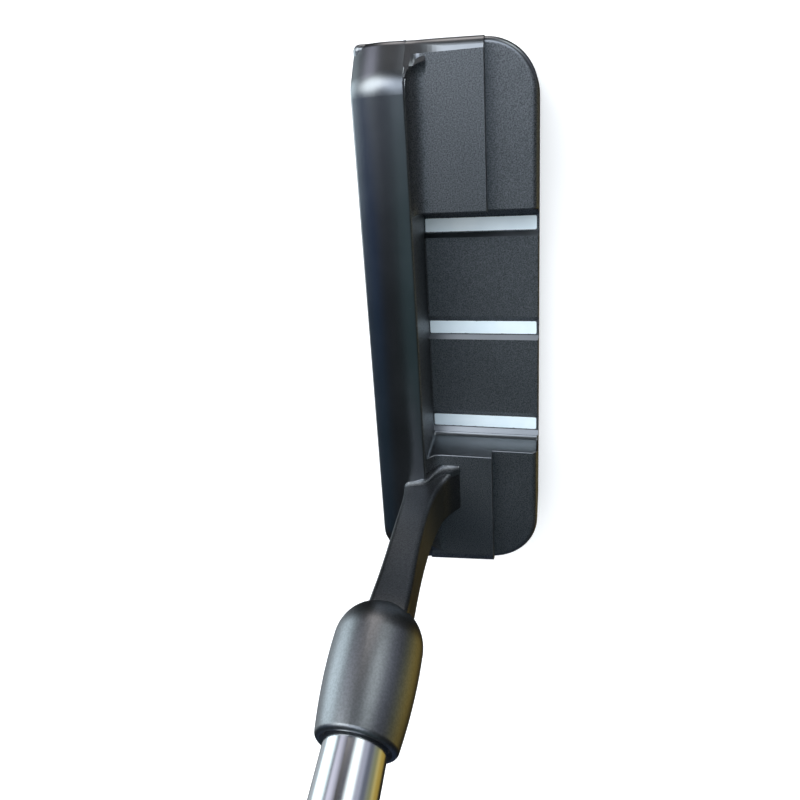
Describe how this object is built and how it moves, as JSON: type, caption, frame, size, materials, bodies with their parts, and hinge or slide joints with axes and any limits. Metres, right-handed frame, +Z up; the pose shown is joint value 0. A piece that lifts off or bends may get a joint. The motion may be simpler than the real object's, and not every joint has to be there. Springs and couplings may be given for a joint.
{
  "type": "golf putter",
  "caption": "Blade putter: heel-and-toe weighted cavity-back head with three sight lines, forward bar neck with hosel barrel, stepped steel shaft and pistol grip.",
  "frame": {"origin": "centre of the small flat pad in the middle of the sole, on the ground", "axes": "+Z up from the ground; +Y from the striking face to the back of the head; +X towards the heel and the golfer, so -X is the toe"},
  "size_m": [0.3759, 0.0371, 0.8182],
  "materials": {
    "head_finish": "dark vapour-coated satin steel",
    "line_paint": "white paint fill",
    "insert_polymer": "fine milled polymer",
    "adhesive": "cured film",
    "shaft_chrome": "mirror plated",
    "epoxy": "cured epoxy",
    "plug_plastic": "moulded",
    "grip_rubber": "matt textured rubber",
    "tape_paper": "double-sided crepe tape",
    "cap_rubber": "smooth moulded rubber"
  },
  "bodies": {
    "root": {"head_body": "head_finish", "alignment_line_toe": "line_paint", "alignment_line_centre": "line_paint", "alignment_line_heel": "line_paint", "face_insert": "insert_polymer", "insert_adhesive": "adhesive", "neck_bar": "head_finish", "hosel_barrel": "head_finish", "shaft": "shaft_chrome", "shaft_epoxy": "epoxy", "tip_plug": "plug_plastic", "grip": "grip_rubber", "grip_tape": "tape_paper", "grip_cap": "cap_rubber"}
  },
  "joints": []
}
